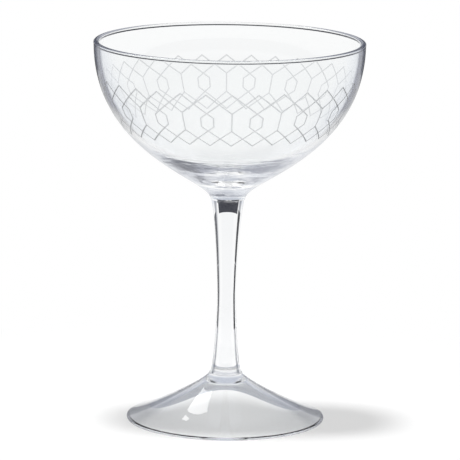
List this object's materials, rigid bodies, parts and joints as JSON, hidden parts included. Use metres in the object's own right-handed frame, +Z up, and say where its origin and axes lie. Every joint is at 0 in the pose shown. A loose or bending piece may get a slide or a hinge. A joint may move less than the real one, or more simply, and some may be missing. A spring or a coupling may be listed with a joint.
{
  "type": "coupe glass",
  "caption": "Stemmed coupe glass with a wide open bowl, an engraved lattice band, a slim drawn stem and a conical round foot.",
  "frame": {"origin": "centre of the resting ring under the foot, on the table plane", "axes": "+Z up along the axis of the glass; the glass is round about it, and +Y is the way the picture looks"},
  "size_m": [0.1, 0.1, 0.142],
  "materials": {
    "clear_glass": "polished"
  },
  "bodies": {
    "root": {"bowl": "clear_glass", "stem": "clear_glass", "foot": "clear_glass"}
  },
  "joints": []
}
